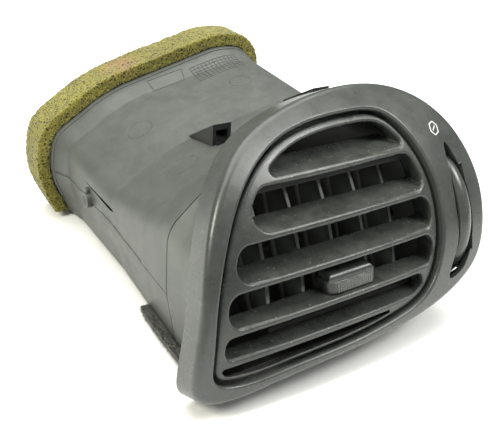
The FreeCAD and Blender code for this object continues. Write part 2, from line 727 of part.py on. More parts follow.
def make_rod():
    front = crank(wheel_centre())
    back = crank(flap_axis())
    ends = (ROD_LEFT, ROD_LEFT + ROD_THICKNESS)
    direction = (back - front).normalize()
    side = Vector(0, -direction.z, direction.y) * 2.2
    corners = [front + side, back + side, back - side, front - side]
    corners = [Vector(ends[0], corner.y, corner.z) for corner in corners]
    bar = Part.Face(Part.makePolygon(corners + [corners[0]]))
    bar = bar.extrude(Vector(ROD_THICKNESS, 0, 0))
    eyes = [x_cylinder(3.6, ends, place.y, place.z) for place in (front, back)]
    rod = bar.fuse(eyes)
    front_bore = x_cylinder(CRANK_PIN_R + RUNNING_CLEARANCE, (40, 60), front.y, front.z)
    back_bore = x_cylinder(CRANK_PIN_R + OPEN_PIVOT_CLEARANCE, (40, 60), back.y, back.z)
    return rod.cut([front_bore, back_bore]).removeSplitter()


def make_lever():
    axis = flap_axis()
    pin = crank(axis)
    ends = (LEVER_LEFT, LEVER_RIGHT)
    direction = (pin - axis).normalize()
    side = Vector(0, -direction.z, direction.y) * 2.6
    corners = [axis + side, pin + side, pin - side, axis - side]
    corners = [Vector(ends[0], corner.y, corner.z) for corner in corners]
    arm = Part.Face(Part.makePolygon(corners + [corners[0]]))
    arm = arm.extrude(Vector(LEVER_RIGHT - LEVER_LEFT, 0, 0))
    hub = x_cylinder(4.4, ends, axis.y, axis.z)
    eye = x_cylinder(3.2, ends, pin.y, pin.z)
    stub = x_cylinder(CRANK_PIN_R, (ROD_LEFT - 0.3, LEVER_LEFT + 1), pin.y, pin.z)
    lever = arm.fuse([hub, eye, stub])
    return lever.cut(x_cylinder(SHAFT_R, (40, 60), axis.y, axis.z)).removeSplitter()


def make_shaft():
    return x_cylinder(SHAFT_R, (-68.4, LEVER_RIGHT + 0.3), FLAP_Y, FLAP_Z)


def flap_corners():
    """Corners of the duct where the closed flap meets it, measured along the flap."""
    lean = math.radians(FLAP_CLOSED)
    reach = DUCT_FLARE_Y - DUCT_CREASE_Y
    corners = []
    for (x_near, z_near, _), (x_far, z_far, radius) in zip(SECTION_BODY, SECTION_WAIST):
        rise = (z_far - z_near) / reach
        start = z_near + rise * (FLAP_Y - DUCT_CREASE_Y)
        z = (start - rise * FLAP_Z / math.tan(lean)) / (1 - rise / math.tan(lean))
        y = FLAP_Y + (z - FLAP_Z) / math.tan(lean)
        x = x_near + (x_far - x_near) * (y - DUCT_CREASE_Y) / reach
        corners.append((x, (z - FLAP_Z) / math.sin(lean), radius))
    return corners


def flap_slab(thickness, grow):
    """Level slab with the outline of the closed flap."""
    face = Part.Face(section_wire(flap_corners(), -thickness / 2, grow))
    slab = face.extrude(Vector(0, thickness, 0))
    slab.rotate(Vector(0, 0, 0), Vector(1, 0, 0), -90)
    slab.translate(flap_axis())
    return slab


def make_flap():
    edge = -DUCT_WALL - FLAP_GAP
    bosses = BOSS_R + 0.4
    relief = [
        x_cylinder(bosses, (-80, -61.4), FLAP_Y, FLAP_Z),
        x_cylinder(bosses, (42.4, 60), FLAP_Y, FLAP_Z),
    ]
    plate = flap_slab(FLAP_THICKNESS, edge - FLAP_FOAM)
    hub = x_cylinder(3.4, (-60.0, 41.0), FLAP_Y, FLAP_Z)
    shaft = x_cylinder(SHAFT_R, (-90, 90), FLAP_Y, FLAP_Z)
    plate = plate.fuse(hub).cut(relief + [shaft]).removeSplitter()
    seal = flap_slab(FLAP_THICKNESS + 2.0, edge).cut(flap_slab(9, edge - FLAP_FOAM - 0.7))
    hub_relief = x_cylinder(3.8, (-90, 90), FLAP_Y, FLAP_Z)
    seal = seal.cut(relief + [plate, hub_relief])
    return plate, seal


def make_bush(x_range, open_range):
    outer = x_cylinder(BUSH_R, x_range, FLAP_Y, FLAP_Z)
    return outer.cut(x_cylinder(SHAFT_R + RUNNING_CLEARANCE, open_range, FLAP_Y, FLAP_Z))


# ---------------------------------------------------------------- build
def build():
    parts = {}
    parts["bezel"] = make_bezel()
    parts["vent_frame"] = make_vent_frame(parts["bezel"])
    parts["duct_upper_shell"], parts["duct_lower_shell"] = make_ducts()
    parts["inlet_foam_gasket"] = make_gasket()
    parts["felt_strip_left"] = make_felt_strip()
    parts["louvre_grille"] = make_grille()
    parts["grille_pivot_pins"] = Part.makeCompound(pivot_pins())
    upper = (VANE_TOP + RAIL_GAP, VANE_TOP + RAIL_GAP + RAIL_THICKNESS)
    lower = (VANE_BOTTOM - RAIL_GAP - RAIL_THICKNESS, VANE_BOTTOM - RAIL_GAP)
    parts["vane_rail_upper"] = make_rail(parts["louvre_grille"], upper, -0.8, True)
    parts["vane_rail_lower"] = make_rail(parts["louvre_grille"], lower, -5.0, False)
    for index, x in enumerate(VANE_X):
        parts["vane_%d" % (index + 1)] = make_vane(x)
    parts["vane_tie_bar"] = make_tie_bar()
    parts["direction_knob"] = make_knob()
    parts["knob_grip_pad"] = make_grip_pad()
    parts["knob_fork"] = make_fork()
    parts["thumbwheel"] = make_thumbwheel()
    parts["wheel_axle_pin"] = make_axle_pin()
    parts["link_rod"] = make_rod()
    parts["flap_lever"] = make_lever()
    parts["flap_plate"], parts["flap_foam_seal"] = make_flap()
    parts["flap_shaft"] = make_shaft()
    parts["flap_bush_left"] = make_bush(BOSS_LEFT_ENDS, (-68.5, -60))
    parts["flap_bush_right"] = make_bush(BOSS_RIGHT_ENDS, (40, 50))
    return parts


def main():
    os.makedirs("parts", exist_ok=True)
    for name, shape in build().items():
        placed = shape.copy()
        placed.translate(Vector(-CENTRE_X, -CENTRE_Y, -BASE_Z))
        placed.exportStep("parts/" + name + ".step")
        limits = placed.BoundBox
        print(
            name, len(placed.Solids), placed.isValid(), round(placed.Volume),
            [round(v, 1) for v in (limits.XMin, limits.XMax, limits.YMin, limits.YMax,
                                   limits.ZMin, limits.ZMax)],
        )


main()
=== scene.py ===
import math
import random

import bmesh
import bpy
from mathutils import Matrix, Vector, noise
from mathutils.bvhtree import BVHTree


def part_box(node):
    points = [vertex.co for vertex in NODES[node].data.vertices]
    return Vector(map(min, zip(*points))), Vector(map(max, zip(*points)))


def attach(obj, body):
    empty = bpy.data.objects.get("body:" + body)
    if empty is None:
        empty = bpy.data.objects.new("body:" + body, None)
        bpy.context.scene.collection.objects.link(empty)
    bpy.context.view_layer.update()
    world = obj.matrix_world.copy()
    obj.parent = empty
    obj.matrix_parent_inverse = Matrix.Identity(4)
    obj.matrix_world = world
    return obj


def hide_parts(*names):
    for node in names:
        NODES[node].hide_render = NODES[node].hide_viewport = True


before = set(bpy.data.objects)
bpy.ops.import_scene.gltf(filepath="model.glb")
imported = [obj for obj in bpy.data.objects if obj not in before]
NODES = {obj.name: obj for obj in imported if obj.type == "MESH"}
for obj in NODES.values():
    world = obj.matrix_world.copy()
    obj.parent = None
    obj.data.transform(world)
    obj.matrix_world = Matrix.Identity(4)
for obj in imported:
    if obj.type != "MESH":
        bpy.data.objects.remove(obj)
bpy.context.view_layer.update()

# ---------------------------------------------------------------- shared frame
# The vent is designed in millimetres in the frame of its CAD source. Its face leans back,
# so places on the face are given as x, t up the face and n out of it.
CENTRE_X = -4.35
CENTRE_Y = 89.58
MM = 0.001
FACE_TILT = math.radians(27.0)
FACE_ORIGIN_Y = 16.5
FACE_ORIGIN_Z = 54.0
FACE_OUT = Vector((0, -math.cos(FACE_TILT), math.sin(FACE_TILT)))
FACE_UP = Vector((0, math.sin(FACE_TILT), math.cos(FACE_TILT)))
RIGHT = Vector((1, 0, 0))
DOWN = Vector((0, 0, -1))


def place(x, y, z):
    """Point of the shared frame for a place in the design, in millimetres."""
    return Vector((x - CENTRE_X, y - CENTRE_Y, z)) * MM


def on_face(x, t, n):
    """Point of the shared frame for a place on the leaning face."""
    base = place(x, FACE_ORIGIN_Y, FACE_ORIGIN_Z)
    return base + (FACE_UP * t + FACE_OUT * n) * MM


# ---------------------------------------------------------------- node graphs
class Graph:
    """A material's node tree around one principled shader."""

    def __init__(self, name, **values):
        self.material = bpy.data.materials.new(name)
        self.material.use_nodes = True
        self.tree = self.material.node_tree
        self.tree.nodes.clear()
        output = self.add("ShaderNodeOutputMaterial")
        self.shader = self.add("ShaderNodeBsdfPrincipled")
        self.tree.links.new(self.shader.outputs["BSDF"], output.inputs["Surface"])
        for socket, value in values.items():
            self.shader.inputs[socket.replace("_", " ")].default_value = value
        self.position = self.add("ShaderNodeTexCoord").outputs["Object"]
        self.normal = self.add("ShaderNodeNewGeometry").outputs["Normal"]

    def add(self, kind, inputs=None, **settings):
        node = self.tree.nodes.new(kind)
        for key, value in settings.items():
            setattr(node, key, value)
        for key, value in (inputs or {}).items():
            if isinstance(value, bpy.types.NodeSocket):
                self.tree.links.new(value, node.inputs[key])
            else:
                node.inputs[key].default_value = value
        return node

    def feed(self, socket, value):
        self.tree.links.new(value, self.shader.inputs[socket])

    def noise(self, scale, detail=4.0, roughness=0.55, stretch=None, distortion=0.0):
        vector = self.position
        if stretch is not None:
            vector = self.add("ShaderNodeMapping", {"Vector": vector, "Scale": stretch}).outputs[0]
        inputs = {
            "Vector": vector, "Scale": scale, "Detail": detail,
            "Roughness": roughness, "Distortion": distortion,
        }
        return self.add("ShaderNodeTexNoise", inputs).outputs[0]

    def cells(self, scale, feature="F1", output="Distance"):
        inputs = {"Vector": self.position, "Scale": scale}
        node = self.add("ShaderNodeTexVoronoi", inputs, feature=feature)
        return node.outputs[output]

    def between(self, value, low, high, to_low=0.0, to_high=1.0):
        inputs = {
            "Value": value, "From Min": low, "From Max": high, "To Min": to_low, "To Max": to_high,
        }
        return self.add("ShaderNodeMapRange", inputs).outputs["Result"]

    def maths(self, operation, first, second=0.0):
        return self.add("ShaderNodeMath", {0: first, 1: second}, operation=operation).outputs[0]

    def times(self, *values):
        product = values[0]
        for value in values[1:]:
            product = self.maths("MULTIPLY", product, value)
        return product

    def mix(self, factor, first, second):
        node = self.add("ShaderNodeMix", data_type="RGBA")
        for index, value in ((0, factor), (6, first), (7, second)):
            if isinstance(value, bpy.types.NodeSocket):
                self.tree.links.new(value, node.inputs[index])
            else:
                node.inputs[index].default_value = value
        return node.outputs[2]

    def upward(self, low, high):
        """How far a surface faces up, from 0 to 1."""
        height = self.add("ShaderNodeSeparateXYZ", {"Vector": self.normal}).outputs["Z"]
        return self.between(height, low, high)

    def spot(self, centre, radius):
        """1 at a place on the object, fading to 0 at a radius."""
        away = self.add("ShaderNodeVectorMath", {0: self.position, 1: centre}, operation="DISTANCE")
        return self.between(away.outputs["Value"], radius, 0.0)

    def column(self, corner, size):
        """1 over a rectangle in plan, whatever the height."""
        places = self.add("ShaderNodeSeparateXYZ", {"Vector": self.position}).outputs
        soft = 0.15 * MM
        inside = 1.0
        for axis, start, length in (("X", corner[0], size[0]), ("Y", corner[1], size[1])):
            after = self.between(places[axis], start - soft, start)
            before = self.between(places[axis], start + length + soft, start + length)
            inside = self.times(inside, after, before)
        return inside

    def rounded(self, radius):
        """Normal with edges rounded by a small radius, and a mask of those edges."""
        bevel = self.add("ShaderNodeBevel", {"Radius": radius}, samples=4).outputs[0]
        turn = self.add("ShaderNodeVectorMath", {0: bevel, 1: self.normal}, operation="DOT_PRODUCT")
        return bevel, self.between(turn.outputs["Value"], 0.995, 0.86)

    def bump(self, height, distance, strength, normal=None):
        inputs = {"Height": height, "Distance": distance, "Strength": strength}
        if normal is not None:
            inputs["Normal"] = normal
        return self.add("ShaderNodeBump", inputs).outputs[0]


def grey(value, warm=0.0):
    """Neutral plastic colour with the slight green-grey cast of aged polypropylene."""
    return (value * (0.94 + warm), value * 1.02, value * (0.93 - warm), 1.0)


# ---------------------------------------------------------------- materials
def moulded_plastic(
    name, tone, rough, dust=0.35, wear_and_edge_highlight=0.5, scuffs=(), grain=0.12, edge=0.5, spread=0.28,
    specks=0.0, blackened=(),
):
    """Moulded plastic with fine grain, mottling, settled dust, scratches, and edges painted lighter,
    partly as rubbing and partly as a painted highlight along rims and lips.
    """
    g = Graph(name, IOR=1.48, Specular_IOR_Level=0.5)
    mottle = g.noise(32, 6, 0.6)
    colour = g.mix(g.between(mottle, 0.3, 0.7), grey(tone * (1 - spread)), grey(tone * (1 + spread)))
    rounded, edges = g.rounded(edge * MM)

    cloud = g.between(g.noise(150, 8, 0.7), 0.42, 0.74)
    film = g.times(g.upward(0.1, 0.95), cloud, dust)
    colour = g.mix(film, colour, grey(tone * 2.2 + 0.06, 0.03))

    lines = g.noise(9, 2, 0.5, stretch=(60, 9, 60), distortion=0.4)
    lines = g.between(lines, 0.66, 0.70)
    cross = g.noise(9, 2, 0.5, stretch=(8, 70, 50), distortion=0.3)
    cross = g.between(cross, 0.67, 0.71)
    scratches = g.times(g.maths("MAXIMUM", lines, cross), g.between(g.noise(45, 3), 0.45, 0.65))
    colour = g.mix(g.times(scratches, 0.35 * wear_and_edge_highlight), colour, grey(tone * 1.8 + 0.05))

    # Edges painted lighter: partly worn by rubbing, partly a painted highlight standing in for light
    # caught on rounded lips and rims.
    rubbed_and_highlit_edges = g.times(edges, g.between(g.noise(220, 5), 0.3, 0.7), wear_and_edge_highlight)
    colour = g.mix(rubbed_and_highlit_edges, colour, grey(tone * 2.4 + 0.08, 0.02))

    for centre, radius, strength in scuffs:
        patch = g.between(g.noise(260, 8, 0.75), 0.52, 0.6)
        patch = g.times(patch, g.spot(centre, radius), strength)
        colour = g.mix(patch, colour, grey(tone * 0.45))

    if specks:
        grains = g.between(g.cells(700), 0.16, 0.08)
        lot = g.add("ShaderNodeSeparateColor", {"Color": g.cells(700, output="Color")}).outputs[0]
        chosen = g.between(lot, 0.80, 0.84)
        grains = g.times(grains, chosen, g.upward(0.0, 0.6), specks)
        colour = g.mix(grains, colour, (0.42, 0.40, 0.32, 1))

    for corner, size in blackened:
        black = g.mix(g.between(g.noise(300, 4), 0.4, 0.7), grey(0.008), grey(0.020))
        colour = g.mix(g.column(corner, size), colour, black)

    g.feed("Base Color", colour)
    finish = g.between(g.noise(95, 7, 0.65), 0.25, 0.75, rough - 0.07, rough + 0.09)
    finish = g.maths("ADD", finish, g.times(film, 0.18))
    g.feed("Roughness", g.maths("SUBTRACT", finish, g.times(rubbed_and_highlit_edges, 0.08)))
    texture = g.maths("ADD", g.noise(2600, 3, 0.6), g.times(g.noise(700, 3), 0.6))
    texture = g.maths("SUBTRACT", texture, g.times(scratches, 0.5))
    g.feed("Normal", g.bump(texture, 0.12 * MM, grain, rounded))
    return g.material


def open_cell_foam(name, ridge, pore_shade, cell_scale, stain=None):
    """Open-cell foam: light struts round pores painted dark as the shade inside the open cells."""
    g = Graph(name, Roughness=0.95, Specular_IOR_Level=0.2, Sheen_Weight=0.25)
    struts = g.between(g.cells(cell_scale, "DISTANCE_TO_EDGE"), 0.02, 0.30)
    fine = g.between(g.cells(cell_scale * 2.1, "DISTANCE_TO_EDGE"), 0.02, 0.26)
    open_pores = g.times(struts, g.between(g.noise(260, 3), 0.25, 0.5))
    pores = g.maths("MAXIMUM", open_pores, g.times(fine, 0.75))
    shade = g.between(g.noise(55, 5), 0.3, 0.7)
    light = g.mix(shade, ridge, tuple(value * 0.72 for value in ridge[:3]) + (1,))
    if stain is not None:
        centre, radius, tint = stain
        blot = g.times(g.spot(centre, radius), g.between(g.noise(150, 4), 0.3, 0.6))
        light = g.mix(blot, light, tint)
    # The pores are painted dark: painted shade inside the open cells.
    g.feed("Base Color", g.mix(pores, light, pore_shade))
    g.feed("Normal", g.bump(g.maths("SUBTRACT", 1.0, pores), 0.5 * MM, 0.8))
    return g.material


def felt(name):
    """Dark felt with lighter threads."""
    g = Graph(name, Roughness=1.0, Specular_IOR_Level=0.15, Sheen_Weight=0.4)
    threads = g.noise(500, 4, 0.7, stretch=(2.4, 0.5, 1.6), distortion=1.2)
    colour = g.mix(g.between(threads, 0.48, 0.62), (0.018, 0.019, 0.017, 1), (0.10, 0.10, 0.085, 1))
    lint = g.between(g.noise(1100, 5, 0.7, stretch=(1, 0.3, 1)), 0.64, 0.70)
    g.feed("Base Color", g.mix(lint, colour, (0.36, 0.34, 0.27, 1)))
    g.feed("Normal", g.bump(threads, 0.4 * MM, 0.9))
    return g.material


def drawn_steel(name):
    """Drawn steel rod with lines along its length."""
    g = Graph(name, Metallic=1.0, Anisotropic=0.4)
    lines = g.noise(60, 6, 0.6, stretch=(1, 40, 40))
    g.feed("Base Color", g.mix(lines, (0.36, 0.36, 0.37, 1), (0.62, 0.62, 0.63, 1)))
    g.feed("Roughness", g.between(lines, 0.3, 0.7, 0.28, 0.5))
    g.feed("Normal", g.bump(lines, 0.03 * MM, 0.4))
    return g.material


def printed_paint(name):
    """Worn pad-printed paint."""
    g = Graph(name, IOR=1.45)
    worn = g.between(g.noise(1500, 5, 0.7), 0.36, 0.5)
    g.feed("Base Color", g.mix(worn, (0.42, 0.43, 0.40, 1), (0.82, 0.83, 0.80, 1)))
    g.feed("Roughness", g.between(worn, 0, 1, 0.7, 0.5))
    g.feed("Normal", g.bump(worn, 0.02 * MM, 0.3))
    return g.material


def paper_floor(name):
    """Pale seamless floor."""
    g = Graph(name, Roughness=0.9, Specular_IOR_Level=0.1)
    g.feed("Base Color", g.mix(g.noise(8, 3), (0.90, 0.90, 0.885, 1), (0.93, 0.93, 0.92, 1)))
    return g.material


# Dark scuffs on the bezel: place, radius in metres and strength.
RIM_SCUFFS = (
    (tuple(on_face(-69, 14, 8)), 0.012, 0.55),
    (tuple(on_face(-77, -24, 4)), 0.014, 0.5),
    (tuple(on_face(-62, 30, 8)), 0.010, 0.35),
)
# Over the two snap ramps on the duct the colour is painted near-black: front left corner and size in
# plan.
RAMP_WIDTH = 9.0
RAMP_LENGTH = 21.7
RAMP_SIZE = (RAMP_WIDTH * MM, RAMP_LENGTH * MM)
RAMPS = (
    (place(-26.6, 102.7 - RAMP_LENGTH, 0), RAMP_SIZE),
    (place(22.5, 99.0 - RAMP_LENGTH, 0), RAMP_SIZE),
)
DUCT = moulded_plastic(
    "duct_plastic", 0.070, 0.44, dust=0.14, wear_and_edge_highlight=0.35, spread=0.14, specks=0.3, blackened=RAMPS
)
TRIM = moulded_plastic("dark_trim_plastic", 0.046, 0.27, dust=0.20, wear_and_edge_highlight=0.7, scuffs=RIM_SCUFFS)
LOUVRE = moulded_plastic("louvre_plastic", 0.036, 0.27, dust=0.30, wear_and_edge_highlight=1.0, edge=0.8, specks=0.9)
LINER = moulded_plastic("light_grey_plastic", 0.085, 0.52, dust=0.2, wear_and_edge_highlight=0.3)
VANE = moulded_plastic("vane_plastic", 0.10, 0.40, dust=0.3, wear_and_edge_highlight=1.0, edge=0.5, specks=0.3)
BLACK = moulded_plastic("black_plastic", 0.022, 0.5, dust=0.25, wear_and_edge_highlight=0.3)
RUBBER = moulded_plastic("grip_rubber", 0.11, 0.62, dust=0.35, wear_and_edge_highlight=0.6, grain=0.2, edge=0.15)
OLIVE = open_cell_foam(
    "olive_foam", (0.355, 0.320, 0.048, 1), (0.035, 0.028, 0.005, 1), 620,
    stain=(tuple(place(-30, 174, 79)), 0.013, (0.42, 0.20, 0.12, 1)),
)
BLACK_FOAM = open_cell_foam("black_foam", (0.045, 0.045, 0.043, 1), (0.010, 0.010, 0.010, 1), 1100)
FELT = felt("dark_felt")
STEEL = drawn_steel("drawn_steel")
PAINT = printed_paint("white_print")
FLOOR = paper_floor("pale_floor")

NODE_MATERIALS = {
    "bezel": TRIM, "vent_frame": LINER, "duct_upper_shell": DUCT, "duct_lower_shell": DUCT,
    "wheel_axle_pin": BLACK, "flap_bush_left": BLACK, "flap_bush_right": BLACK,
    "louvre_grille": LOUVRE, "grille_pivot_pins": BLACK, "vane_rail_upper": BLACK,
    "vane_rail_lower": BLACK, "direction_knob": LOUVRE, "knob_fork": BLACK,
    "vane_tie_bar": BLACK, "thumbwheel": TRIM, "link_rod": BLACK, "flap_plate": BLACK,
    "flap_shaft": STEEL, "flap_lever": BLACK,
}


def paint_nodes():
    """Give every CAD piece that stays in view its material."""
    for name, node in NODES.items():
        numbered_vane = name.startswith("vane_") and name[-1].isdigit()
        material = VANE if numbered_vane else NODE_MATERIALS.get(name)
        if material is None:
            continue
        node.data.materials.clear()
        node.data.materials.append(material)


# ---------------------------------------------------------------- mesh helpers
DROP = 0.08                 # metres a path falls on to the surface under it


def new_piece(name, vertices, faces, material, body, smooth=False):
    """A new piece from vertices and faces, riding on a body."""
    mesh = bpy.data.meshes.new(name)
    mesh.from_pydata([tuple(v) for v in vertices], [], faces)
    mesh.materials.append(material)
    mesh.validate()
    piece = bpy.data.objects.new(name, mesh)
    bpy.context.scene.collection.objects.link(piece)
    shape = bmesh.new()
    shape.from_mesh(mesh)
    bmesh.ops.recalc_face_normals(shape, faces=shape.faces)
    shape.to_mesh(mesh)
    shape.free()
    for polygon in mesh.polygons:
        polygon.use_smooth = smooth
    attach(piece, body)
    return piece


def surface_of(*names):
    """Search tree over the surface of some CAD pieces."""
    vertices, polygons = [], []
    for name in names:
        mesh = NODES[name].data
        start = len(vertices)
        vertices += [v.co.copy() for v in mesh.vertices]
        polygons += [[start + index for index in p.vertices] for p in mesh.polygons]
    return BVHTree.FromPolygons(vertices, polygons)


def lay_on(tree, points, direction, step=0.8 * MM, closed=False):
    """Path of surface points and normals under a run of points, seen along a direction."""
    corners = list(points) + ([points[0]] if closed else [])
    path = []
    for start, end in zip(corners, corners[1:]):
        count = max(1, round((end - start).length / step))
        for index in range(count):
            path.append(start.lerp(end, index / count))
    if not closed:
        path.append(corners[-1])
    found = []
    for point in path:
        hit, normal, _, _ = tree.ray_cast(point - direction * DROP, direction)
        if hit is not None:
            if normal.dot(direction) > 0:
                normal = -normal
            found.append((hit, normal))
    return found


def ridge(path, width, height, closed=False, sunk=0.15 * MM, wobble=None):
    """Vertices and faces of a low bead that follows a path on a surface."""
    vertices, faces = [], []
    count = len(path)
    for index, (point, normal) in enumerate(path):
        before = path[index - 1][0] if index or closed else point
        after = path[(index + 1) % count][0] if index + 1 < count or closed else point
        side = (after - before).cross(normal).normalized()
        rise = height if wobble is None else height * wobble(index)
        shoulder = rise * 0.85
        profile = ((-0.5, -sunk), (-0.32, shoulder), (0, rise), (0.32, shoulder), (0.5, -sunk))
        for across, up in profile:
            vertices.append(point + side * (across * width) + normal * up)
    around = 5
    spans = count if closed else count - 1
    for index in range(spans):
        here, there = index * around, ((index + 1) % count) * around
        for k in range(around):
            m = (k + 1) % around
            faces.append((here + k, here + m, there + m, there + k))
    if not closed:
        faces.append(tuple(range(around)))
        faces.append(tuple(range((count - 1) * around, count * around))[::-1])
    return vertices, faces


def joined(parts):
    """One list of vertices and faces from several."""
    vertices, faces = [], []
    for some_vertices, some_faces in parts:
        start = len(vertices)
        vertices += list(some_vertices)
        faces += [tuple(start + index for index in face) for face in some_faces]
    return vertices, faces


def block(centre, size, taper=0.82):
    """Small moulded block, narrower at its top."""
    corners = []
    for up, scale in ((-0.5, 1.0), (0.5, taper)):
        for a, b in ((-0.5, -0.5), (0.5, -0.5), (0.5, 0.5), (-0.5, 0.5)):
            corners.append(centre + Vector((a * size[0] * scale, b * size[1] * scale, up * size[2])))
    faces = [(3, 2, 1, 0), (4, 5, 6, 7)]
    faces += [(k, (k + 1) % 4, (k + 1) % 4 + 4, k + 4) for k in range(4)]
    return corners, faces


# ---------------------------------------------------------------- soft pieces
SMOOTHING_STEPS = 4         # rounds the edges of a remeshed foam piece
FIBRE_RADIUS = 0.045 * MM
FIBRE_ROOT = 0.2 * MM       # of a fibre, inside the felt
FELT_FOOT = 0.6 * MM        # no fibres start below this height


def foam_piece(node, name, material, body, voxel, pore, depth, wave, seed):
    """A foam piece with rounded edges and a pitted surface, in the space of its CAD solid."""
    raw = bpy.data.objects.new(name + "_raw", NODES[node].data.copy())
    bpy.context.scene.collection.objects.link(raw)
    remesh = raw.modifiers.new("voxels", "REMESH")
    remesh.mode = "VOXEL"
    remesh.voxel_size = voxel
    bpy.context.view_layer.update()
    graph = bpy.context.evaluated_depsgraph_get()
    mesh = bpy.data.meshes.new_from_object(raw.evaluated_get(graph))
    bpy.data.objects.remove(raw)
    mesh.name = name
    shape = bmesh.new()
    shape.from_mesh(mesh)
    all_ways = {"use_axis_x": True, "use_axis_y": True, "use_axis_z": True}
    for _ in range(SMOOTHING_STEPS):
        bmesh.ops.smooth_vert(shape, verts=shape.verts, factor=0.5, **all_ways)
    shape.normal_update()
    offset = Vector((seed, seed * 1.7, -seed))
    moves = []
    for vertex in shape.verts:
        cell = noise.voronoi(vertex.co / pore + offset)[0][0]
        long_wave = noise.noise(vertex.co / (9 * pore) + offset)
        grit = noise.noise(vertex.co / (0.45 * pore) - offset)
        moves.append(vertex.normal * (depth * (0.25 - cell) + wave * long_wave + 0.25 * depth * grit))
    for vertex, move in zip(shape.verts, moves):
        vertex.co += move
    bmesh.ops.recalc_face_normals(shape, faces=shape.faces)
    shape.to_mesh(mesh)
    shape.free()
    mesh.materials.clear()
    mesh.materials.append(material)
    for polygon in mesh.polygons:
        polygon.use_smooth = True
        polygon.material_index = 0
    piece = bpy.data.objects.new(name, mesh)
    bpy.context.scene.collection.objects.link(piece)
    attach(piece, body)
    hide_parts(node)
    return piece


def felt_fibres(strip, count, seed):
    """Loose fibres standing out of the felt strip."""
    rng = random.Random(seed)
    mesh = strip.data
    vertices, faces = [], []
    for _ in range(count):
        polygon = mesh.polygons[rng.randrange(len(mesh.polygons))]
        root = polygon.center
        if root.z < FELT_FOOT:
            continue
        lean = Vector((rng.uniform(-1, 1), rng.uniform(-1, 1), rng.uniform(-0.6, 1)))
        way = (polygon.normal + lean * 0.9).normalized()
        bend = Vector((rng.uniform(-1, 1), rng.uniform(-1, 1), rng.uniform(-1, 0.4))) * 0.4
        length = rng.uniform(0.5, 1.5) * MM
        across = way.cross(Vector((0.3, 0.5, 0.8))).normalized() * FIBRE_RADIUS
        third = way.cross(across).normalized() * FIBRE_RADIUS
        points = [root - way * FIBRE_ROOT, root + way * length * 0.5, root + (way + bend) * length]
        points[2].z = max(points[2].z, 0.1 * MM)
        start = len(vertices)
        for point, thick in zip(points[:2], (1.0, 0.8)):
            vertices += [point + across * thick, point - across * thick * 0.6 + third * thick,
                         point - across * thick * 0.6 - third * thick]
        vertices.append(points[2])
        for k in range(3):
            m = (k + 1) % 3
            faces.append((start + k, start + m, start + 3 + m, start + 3 + k))
            faces.append((start + 3 + k, start + 3 + m, start + 6))
        faces.append((start + 2, start + 1, start))
    new_piece("felt_fibres", vertices, faces, FELT, "housing")


# ---------------------------------------------------------------- moulded details
# Marks on the duct's top in plan, (x, y) in design millimetres; rings have a radius too.
LABEL_CORNERS = ((-20, 151.5), (-3, 151), (-0.5, 159.5), (-19.5, 160.5))
GRID_CORNERS = ((2.5, 144), (29.7, 145), (30, 157.5), (3.2, 157.5))
GRID_COLUMNS = 12
GRID_ROWS = 6
EJECTOR_RINGS = ((-39.5, 126.5, 5.6), (-41, 80, 6.0), (17.6, 130, 5.5))
RING_POINTS = 28
OVER_DUCT_Z = 90            # over the whole duct, where marks are dropped from

LIP_Y = 163.3
LIP_AXIS = (-8, 34)         # x and z of the middle of the lip
LIP_POINTS = 121
LIP_START = 200             # degrees up from +X, at the foot of the left wall
LIP_SWEEP = 220             # over the top to the foot of the right wall
OUTSIDE_DUCT = 0.15         # metres from the middle of the duct

LEFT_OF_DUCT_X = -68
PARTING_Z = 29.7
FLASH_IN_FRONT = (66, 90, 112)      # places along Y in front of the shaft's boss
FLASH_BEHIND = (131, 150, 163)

MARK_PLACE = (49.2, 31.4)   # on the face, over the thumbwheel
MARK_SIDES = 6
MARK_HALF_WIDTH = 2.5
MARK_HALF_HEIGHT = 3.0
MARK_BAR_REACH = 0.9
OVER_FACE_N = 14            # outside the face, where the mark is laid from

PAD_ROWS = 5
PAD_COLUMNS = 16
PYRAMID_HEIGHT = 0.42 * MM
PAD_BODY = 1.4 * MM         # of the visible pad, behind its pyramids
CAD_PAD_DEPTH = 1.55 * MM


def duct_marks(tree):
    """Moulded marks on the top of the duct: a blank label frame, a grid and ejector rings."""
    parts = []
    label = [place(x, y, OVER_DUCT_Z) for x, y in LABEL_CORNERS]
    parts.append(ridge(lay_on(tree, label, DOWN, closed=True), 0.55 * MM, 0.3 * MM, closed=True))
    corners = [place(x, y, OVER_DUCT_Z) for x, y in GRID_CORNERS]
    for index in range(GRID_COLUMNS + 1):
        share = index / GRID_COLUMNS
        run = [corners[0].lerp(corners[1], share), corners[3].lerp(corners[2], share)]
        parts.append(ridge(lay_on(tree, run, DOWN), 0.45 * MM, 0.28 * MM))
    for index in range(GRID_ROWS + 1):
        share = index / GRID_ROWS
        run = [corners[0].lerp(corners[3], share), corners[1].lerp(corners[2], share)]
        parts.append(ridge(lay_on(tree, run, DOWN), 0.45 * MM, 0.28 * MM))
    for x, y, radius in EJECTOR_RINGS:
        ring = []
        for index in range(RING_POINTS):
            angle = 2 * math.pi * index / RING_POINTS
            along, across = radius * math.cos(angle), radius * math.sin(angle)
            ring.append(place(x + along, y + across, OVER_DUCT_Z))
        parts.append(ridge(lay_on(tree, ring, DOWN, closed=True), 0.4 * MM, 0.14 * MM, closed=True))
    vertices, faces = joined(parts)
    new_piece("duct_moulded_marks", vertices, faces, DUCT, "housing")


def duct_lip(tree):
    """Thin raised lip round the duct in front of the foam."""
    middle = place(LIP_AXIS[0], LIP_Y, LIP_AXIS[1])
    path = []
    for index in range(LIP_POINTS):
        angle = math.radians(LIP_START - index * LIP_SWEEP / (LIP_POINTS - 1))
        outward = Vector((math.cos(angle), 0, math.sin(angle)))
        hit, normal, _, _ = tree.ray_cast(middle + outward * OUTSIDE_DUCT, -outward)
        if hit is not None and hit.z > 3 * MM:
            path.append((hit, normal if normal.dot(outward) > 0 else -normal))
    vertices, faces = ridge(path, 1.3 * MM, 0.55 * MM)
    new_piece("duct_lip", vertices, faces, DUCT, "housing", smooth=True)


